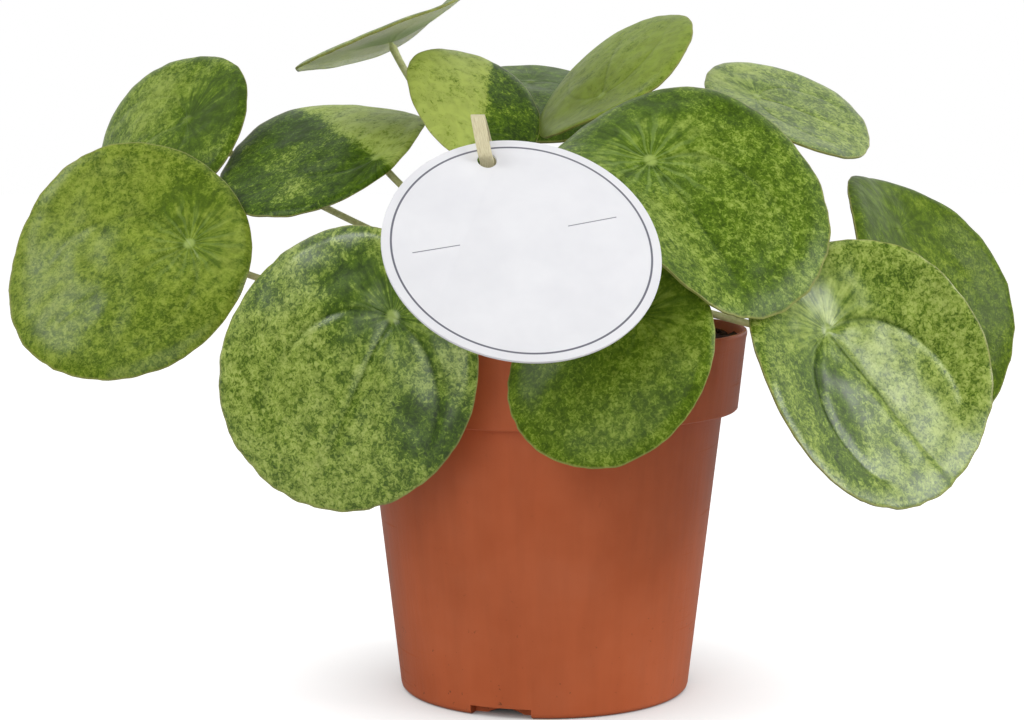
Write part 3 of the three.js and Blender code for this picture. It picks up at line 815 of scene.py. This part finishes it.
def make_pot():
    floor = CHANNEL["height"] + WALL
    pot = pulled("nursery_pot", (
        (PAD_RADIUS, 0), (CHANNEL["inner"], CHANNEL["height"]),
        (CHANNEL["outer"], CHANNEL["height"]), (CHANNEL["outer"] + CHANNEL["draft"], 0),
        *stepped(FOOT_RADIUS, 0, FOOT_ROUNDING),
        (BODY_RADIUS, STEP_HEIGHT), *stepped(BAND_RADIUS, STEP_HEIGHT, BAND_ROUNDING),
        *stepped(RIM_RADIUS, POT_TOP, RIM_ROUNDING), (BAND_RADIUS - WALL, STEP_HEIGHT + WALL),
        (BODY_RADIUS - WALL, STEP_HEIGHT + WALL), (FOOT_RADIUS - WALL, floor + WALL),
        (FOOT_RADIUS - 2 * WALL, floor),
    ), POT_SEGMENTS)
    for turn in NOTCH["turns"]:
        bpy.ops.mesh.primitive_cube_add(size=MM, location=(0, -FOOT_RADIUS * MM, 0))
        notch = bpy.context.object
        notch.scale = (NOTCH["width"], NOTCH["depth"], 2 * NOTCH["height"])
        bpy.ops.object.transform_apply(location=True, scale=True)
        settle(notch, Matrix.Rotation(math.radians(turn), 4, "Z"))
        cut(pot, notch)
    reach = (CHANNEL["inner"] + CHANNEL["outer"]) / 2
    for i in range(DRAIN["count"]):
        angle = (i + 0.5) * 2 * math.pi / DRAIN["count"]
        place = (reach * math.sin(angle), -reach * math.cos(angle), floor)
        cut(pot, rod(DRAIN["radius"], 4 * WALL, DRAIN["sides"], place))
    smooth(pot, 38)
    dress(pot, "pot", pot_material())


# The potting mix


def soil_height(radius):
    return SOIL_MIDDLE + (SOIL_EDGE - SOIL_MIDDLE) * (radius / RIM_RADIUS) ** 2


def crumb_shapes(source):
    """A few lumpy crumbs of unit size, each a rough ball of twenty faces."""
    shapes = []
    for _ in range(CRUMBS["shapes"]):
        bpy.ops.mesh.primitive_ico_sphere_add(subdivisions=1, radius=MM)
        crumb = bpy.context.object
        for vertex in crumb.data.vertices:
            vertex.co *= source.uniform(0.7, 1.25)
        shapes.append(crumb)
    return shapes


def make_crumb(source, shapes, edge):
    """A crumb that lies flat somewhere on the potting mix."""
    angle = source.uniform(0, 2 * math.pi)
    nearest = HOLE["radius"] + CRUMBS["from_hole"]
    reach = math.sqrt(source.uniform(nearest ** 2, (edge - CRUMBS["from_wall"]) ** 2))
    size = source.choice(CRUMBS["sizes"])
    crumb = copy_of(source.choice(shapes))
    flat = Matrix.Diagonal((size, size * source.uniform(0.6, 1), size * CRUMBS["height"], 1))
    turn = Matrix.Rotation(source.uniform(0, 2 * math.pi), 4, "Z")
    height = soil_height(reach) + CRUMBS["lift"]
    place = Vector((reach * math.cos(angle), reach * math.sin(angle), height)) * MM
    settle(crumb, Matrix.Translation(place) @ turn @ flat)
    return crumb


def make_soil():
    source = random.Random(7)
    shelf = STEP_HEIGHT + WALL + GAP
    rise = (SOIL_EDGE - shelf) / (POT_TOP - shelf)
    edge = BAND_RADIUS - SOIL_INSET + (RIM_RADIUS - BAND_RADIUS) * rise
    floor = CHANNEL["height"] + WALL + GAP
    profile = [
        (FOOT_RADIUS - WALL - SOIL_INSET, floor), (FOOT_RADIUS - SOIL_INSET, floor + WALL),
        (BODY_RADIUS - SOIL_INSET, shelf), (BAND_RADIUS - SOIL_INSET, shelf),
        (edge, SOIL_EDGE - 0.6),
    ]
    radius = edge - 0.6
    while radius > HOLE["radius"] + SOIL_STEP:
        profile.append((radius, soil_height(radius)))
        radius -= SOIL_STEP
    profile += [(HOLE["radius"], SOIL_MIDDLE), (HOLE["radius"], SOIL_EDGE - HOLE["depth"])]
    bed = pulled("potting_mix_bed", profile, SOIL_SEGMENTS)
    for height, size in SOIL_LUMPS:
        roughen(bed, height, size, LUMPS_FROM)
    shapes = crumb_shapes(source)
    crumbs = [make_crumb(source, shapes, edge) for _ in range(CRUMBS["count"])]
    for shape in shapes:
        bpy.data.objects.remove(shape)
    soil = join([bed, *crumbs], "potting_mix_bed")
    smooth(soil, 60)
    dress(soil, "potting_mix", soil_material())


# The stem


def make_stem():
    first = SOIL_MIDDLE + 1
    profile = [(STEM_RADIUS, STEM_LOW.z)]
    height = first
    while height < STEM_TOP - 1:
        share = (height - first) / (STEM_TOP - first)
        radius = STEM_RADIUS + (STEM_TIP_RADIUS - STEM_RADIUS) * share
        profile += stepped(radius, height, SCAR)
        height += STEM_RING
    profile += [*stepped(0, STEM_TOP, STEM_TIP), (0.3, STEM_HIGH.z - 0.05)]
    stem = pulled("short_stem", profile, 48)
    roughen(stem, *STEM_BUMPS)
    smooth(stem, 60)
    dress(stem, "stem", stem_material())


# The leaves


def leaf_frame(facing, turn):
    """Across the blade, towards its tip, and out of its upper face."""
    azimuth, elevation = (math.radians(angle) for angle in facing)
    out = Vector((
        math.cos(elevation) * math.sin(azimuth), -math.cos(elevation) * math.cos(azimuth),
        math.sin(elevation),
    ))
    down = (out * out.z - UP).normalized()
    tip = Matrix.Rotation(-math.radians(turn), 3, out) @ down
    return tip.cross(out), tip, out


def placed(facing, turn, centre):
    """Where a blade or the tag stands."""
    axes = Matrix(leaf_frame(facing, turn)).transposed().to_4x4()
    return Matrix.Translation(Vector(centre) * MM) @ axes


def bent(distance, half, degrees):
    """Points along a strip of that half length that bends down: how far along, how far down."""
    curve = np.maximum(np.abs(np.radians(degrees)), 1e-6) / half
    drop = np.where(degrees < 0, -1, 1) * (1 - np.cos(curve * distance)) / curve
    return np.sin(curve * np.abs(distance)) / curve * np.sign(distance), drop


def nerve_distance(across, along):
    """How far a place on the blade is from its nearest main nerve, in leaf lengths."""
    lateral = np.abs(nerve_oval(across, along) - 1) * NERVE["side"] + np.clip(along - 0.5, 0, 1)
    midrib = np.abs(across) + np.clip(along - NERVE["midrib"], 0, 1)
    return np.where(along > 0, np.minimum(lateral, midrib), 1)


def nerve_oval(across, along):
    """How far out a place lies in the oval that the two side nerves draw, which is at 1."""
    return np.hypot(across / NERVE["side"], along / NERVE["centre"] - 1)


def along_nerves(leaf, across, along):
    """A place on the blade in leaf lengths, turned so that the midrib runs straight ahead."""
    turn = math.radians(leaf["nerve"])
    length = leaf["size"][0]
    x = (across * math.cos(turn) - along * math.sin(turn)) / length
    y = (across * math.sin(turn) + along * math.cos(turn)) / length
    return x, y


def growth_of(leaf, across, along):
    """How pale the blade grows at each place."""
    length = leaf["size"][0]
    x, _ = along_nerves(leaf, across, along)
    side = 1 / (1 + np.exp(-np.clip(x / 0.012, -30, 30)))
    light = leaf["light"][0] * (1 - side) + leaf["light"][1] * side
    for patch_across, patch_along, radius, amount in leaf["patches"]:
        away = np.hypot(across / length - patch_across, along / length - patch_along) / radius
        light = light + amount * np.exp(-away ** 4)
    return light


def unit_blade():
    """A flat disc of rings and rays, drawn in from its edge to its heart."""
    bpy.ops.mesh.primitive_circle_add(vertices=BLADE["segments"], radius=1, fill_type="NOTHING")
    disc = bpy.context.object
    with editing(disc):
        for ring in range(BLADE["rings"], 1, -1):
            pull_rim(0, (ring - 1) / ring)
        pull_rim(0, 1)
        bpy.ops.mesh.merge(type="CENTER")
        bpy.ops.mesh.select_all(action="SELECT")
        bpy.ops.mesh.normals_make_consistent(inside=False)
    if disc.data.polygons[0].normal.z < 0:
        disc.data.flip_normals()
    return disc


def rim_noise(leaf, angle, period):
    """A slow unevenness round the blade, from about -1 to 1, with a period in millimetres."""
    turns = leaf["size"][0] / 2 / period
    seed = leaf["heart"][0]
    return 1.6 * np.array([
        noise.noise(Vector((turns * math.cos(a), turns * math.sin(a), seed))) for a in angle])


def flat_blade(leaf, share, angle):
    """Places on the blade before it bends, in millimetres across and along from the heart."""
    length, width = leaf["size"]
    wobble = RIM["wobble"] * 2 / BLADE["typical"] * rim_noise(leaf, angle, RIM["period"])
    reach = share * (1 + wobble * share ** 7)
    across = reach * width / 2 * np.sin(angle)
    along = reach * ((0.5 - leaf["base"]) * length - length / 2 * np.cos(angle))
    return across, along


def blade_relief(leaf, share, angle, across, along):
    """How far the blade's surface rises from its bent plane at each place."""
    size = leaf["size"][0] / BLADE["typical"]
    from_heart = np.hypot(across, along) / size
    dimple = DIMPLE["depth"] * (1 - np.exp(-(from_heart / DIMPLE["reach"]) ** 2))
    knob = KNOB["height"] * np.exp(-(from_heart / KNOB["reach"]) ** 2)
    wave = WAVE * share ** 3 * np.sin(3 * angle + leaf["heart"][0])
    place = along_nerves(leaf, across, along)
    crease = CREASE["depth"] * np.exp(-(nerve_distance(*place) / CREASE["reach"]) ** 2)
    swell = CREASE["swell"] * np.clip(1 - nerve_oval(*place) ** 2, 0, 1)
    seed = Vector(leaf["heart"])
    pucker = PUCKER["height"] * (1 - share ** 6) * np.array([
        noise.noise(Vector((x, y, 0)) / PUCKER["size"] + seed) for x, y in zip(across, along)])
    rolled = RIM["roll"] * np.clip((share - RIM["from"]) / (1 - RIM["from"]), 0, 1) ** 2
    frill = RIM["frill"] * rim_noise(leaf, angle + 1, 2 * RIM["period"]) * share ** 10
    nerves = leaf["crease"] * (swell - crease)
    return size * (dimple + knob + wave + nerves + pucker + frill - rolled)


def bend_blade(leaf, across, along):
    """The same places on the bent blade: across, along and down."""
    length, width = leaf["size"]
    tip_bend, base_bend, side_bend, other_side_bend = leaf["bend"]
    x, drop_across = bent(across, width / 2, np.where(across > 0, other_side_bend, side_bend))
    ahead = along > 0
    reach = np.where(ahead, 1 - leaf["base"], leaf["base"]) * length
    y, drop_along = bent(along, reach, np.where(ahead, tip_bend, base_bend))
    return x, y, drop_across + drop_along


def mark_blade(leaf, mesh, share, across, along):
    """Writes what the leaf's materials read."""
    ones = np.ones_like(share)
    growth = (growth_of(leaf, across, along), leaf["mottle"] * ones, leaf["tone"] * ones)
    write_values(mesh, "share", share)
    write_values(mesh, "marks", np.outer(ones, (leaf["crease"], leaf["rays"], leaf["gloss"])))
    write_values(mesh, "growth", np.stack(growth, -1))
    places = np.stack(along_nerves(leaf, across, along), -1)
    write_flat_places(mesh, "blade", places, UV_SPAN)


def make_blade(leaf, disc):
    blade = copy_of(disc)
    unit = points_of(blade)
    share = np.hypot(unit[:, 0], unit[:, 1])
    angle = np.arctan2(unit[:, 0], -unit[:, 1])
    across, along = flat_blade(leaf, share, angle)
    x, y, drop = bend_blade(leaf, across, along)
    z = blade_relief(leaf, share, angle, across, along) - drop
    move_points(blade, np.stack([x, y, z], -1))
    mark_blade(leaf, blade.data, share, across, along)
    settle(blade, placed(leaf["facing"], leaf["turn"], leaf["heart"]))
    for material in LEAF_MATERIALS:
        blade.data.materials.append(material)
    finish_with(
        blade, "SOLIDIFY", thickness=BLADE["thickness"] * MM, offset=0, material_offset=1,
        material_offset_rim=0, use_even_offset=False)
    soften(blade, BLADE["rounding"])
    return blade


def stalk_course(leaf):
    """Points of the stalk from the stem's skin to just inside the blade, with their radii."""
    _, _, out = leaf_frame(leaf["facing"], leaf["turn"])
    heart = Vector(leaf["heart"])
    start = Vector((0, 0, leaf["node"]))
    span = (heart - start).length
    outward = Vector((heart.x, heart.y, 0)).normalized()
    rise = math.radians(leaf["rise"])
    leaving = start + STALK["leaving"] * span * (outward * math.cos(rise) + UP * math.sin(rise))
    arrival = ((start - heart).normalized() * STALK["homing"] - out).normalized()
    arriving = heart + arrival * STALK["arriving"] * span
    end = heart - 0.1 * out
    course = []
    for step in range(STALK["steps"] + 1):
        t = step / STALK["steps"]
        near = start * (1 - t) ** 3 + 3 * leaving * t * (1 - t) ** 2
        far = 3 * arriving * t ** 2 * (1 - t) + end * t ** 3
        point = near + far
        from_start = math.hypot(point.x, point.y)
        if from_start < STEM_TIP_RADIUS - 1:
            continue
        from_end = (point - end).length
        flare = 1 + 0.5 * math.exp(-from_start / 6) + 0.35 * math.exp(-from_end / 2.5)
        closing = min(1, 0.3 + from_end / 1.5)
        course.append((point, leaf["thick"] * flare * closing))
    return course


def make_stalk(leaf):
    curve = bpy.data.curves.new("stalk", "CURVE")
    curve.dimensions = "3D"
    curve.bevel_depth = MM
    curve.bevel_resolution = 3
    curve.use_fill_caps = True
    course = stalk_course(leaf)
    spline = curve.splines.new("POLY")
    spline.points.add(len(course) - 1)
    for place, (point, radius) in zip(spline.points, course):
        place.co = (*(point * MM), 1)
        place.radius = radius
    choose(put_in_scene("stalk", curve))
    bpy.ops.object.convert(target="MESH")
    stalk = bpy.context.object
    merge_doubles(stalk)
    stalk.data.materials.clear()
    stalk.data.materials.append(LEAF_MATERIALS[2])
    return stalk


def make_leaves():
    disc = unit_blade()
    for leaf in LEAVES:
        whole = join([make_blade(leaf, disc), make_stalk(leaf)], leaf["node_name"] + "_grown")
        smooth(whole, 50)
        dress(whole, leaf["node_name"])
    bpy.data.objects.remove(disc)


# The tag and its tie


def make_tag():
    card = rod(TAG["radius"], TAG["thickness"], 200)
    card.name = card.data.name = "round_card"
    cut(card, rod(TAG_HOLE["radius"], 4 * TAG["thickness"], 48, TAG_HOLE["place"]))
    soften(card, 0.12)
    while card.data.uv_layers:
        card.data.uv_layers.remove(card.data.uv_layers[0])
    write_flat_places(card.data, "print", points_of(card)[:, :2] / MM, PRINT_SPAN)
    settle(card, placed(*TAG["stance"]))
    smooth(card, 30)
    dress(card, "hang_tag", card_material())


def closed_course(count):
    """Evenly numbered points of a smooth closed curve through the tie's course."""
    knots = [np.array(knot, float) for knot in TIE_COURSE]
    points = []
    for i in range(count):
        number, t = divmod(i / count * len(knots), 1)
        a, b, c, d = (knots[(int(number) + j) % len(knots)] for j in (-1, 0, 1, 2))
        square = 2 * a - 5 * b + 4 * c - d
        cube = 3 * b - a - 3 * c + d
        points.append(b + 0.5 * ((c - a) * t + square * t ** 2 + cube * t ** 3))
    return np.array(points)


def make_tie():
    steps = TIE["steps"]
    bpy.ops.mesh.primitive_grid_add(x_subdivisions=steps, y_subdivisions=TIE["rows"], size=2)
    tape = bpy.context.object
    tape.name = tape.data.name = "flat_tie"
    flat = points_of(tape)
    number = np.rint((flat[:, 0] + 1) / 2 * steps).astype(int) % steps
    x, z = closed_course(steps)[number].T
    aside = flat[:, 1] * TIE["width"] / 2 - TIE["lean"] * np.maximum(z, 0)
    move_points(tape, np.stack([aside, x, z], -1))
    merge_doubles(tape, mend_normals=False)
    finish_with(tape, "SOLIDIFY", thickness=TIE["thickness"] * MM, offset=0)
    soften(tape, 0.15)
    place = placed(*TAG["stance"]) @ (Vector(TAG_HOLE["place"]) * MM)
    settle(tape, Matrix.Translation(place) @ Matrix.Rotation(-math.radians(TIE["turn"]), 4, "Z"))
    merge_doubles(tape)
    smooth(tape, 50)
    dress(tape, "tag_tie", tape_material())


# Camera, floor and light


def make_camera():
    data = bpy.data.cameras.new("camera")
    data.lens = CAMERA["lens"]
    data.sensor_width = CAMERA["sensor"]
    camera = put_in_scene("camera", data)
    camera.location = CAMERA["place"]
    camera.rotation_euler = (math.radians(90 - CAMERA["down"]), 0, 0)
    bpy.context.scene.camera = camera


def make_floor():
    bpy.ops.mesh.primitive_plane_add(size=FLOOR["side"])
    floor = bpy.context.object
    floor.name = floor.data.name = "floor"
    floor.data.materials.append(floor_material())


def add_light(name, azimuth, elevation, distance, side, power):
    data = bpy.data.lights.new(name, "AREA")
    data.shape = "SQUARE"
    data.size = side
    data.energy = power
    light = put_in_scene(name, data)
    _, _, towards = leaf_frame((azimuth, elevation), 0)
    light.location = Vector(AIM) + distance * towards
    light.rotation_euler = towards.to_track_quat("Z", "Y").to_euler()


def make_world():
    """A white world that is dimmer for what it lights, and darker in front for what mirrors it."""
    world = bpy.data.worlds.new("studio")
    world.use_nodes = True
    nodes = Nodes(world.node_tree)
    path = nodes.add("LightPath").outputs
    _, back, _ = nodes.split(nodes.add("TexCoord").outputs["Generated"])
    mirrored = nodes.step(back, -0.15, 0.7, WORLD["mirrored_front"], WORLD["mirrored_back"])
    more = nodes.math("SUBTRACT", mirrored, WORLD["diffuse"])
    strength = nodes.math("MULTIPLY_ADD", path["Is Glossy Ray"], more, WORLD["diffuse"])
    strength = nodes.math("MAXIMUM", strength, path["Is Camera Ray"])
    background = world.node_tree.nodes["Background"].inputs
    nodes.fill(background["Color"], (1, 1, 1, 1))
    nodes.fill(background["Strength"], strength)
    bpy.context.scene.world = world
    bpy.context.scene.view_settings.view_transform = "Standard"


make_camera()
make_floor()
for light_name, light_settings in LIGHTS.items():
    add_light(light_name, *light_settings)
make_world()
make_pot()
make_soil()
make_stem()
make_leaves()
make_tag()
make_tie()
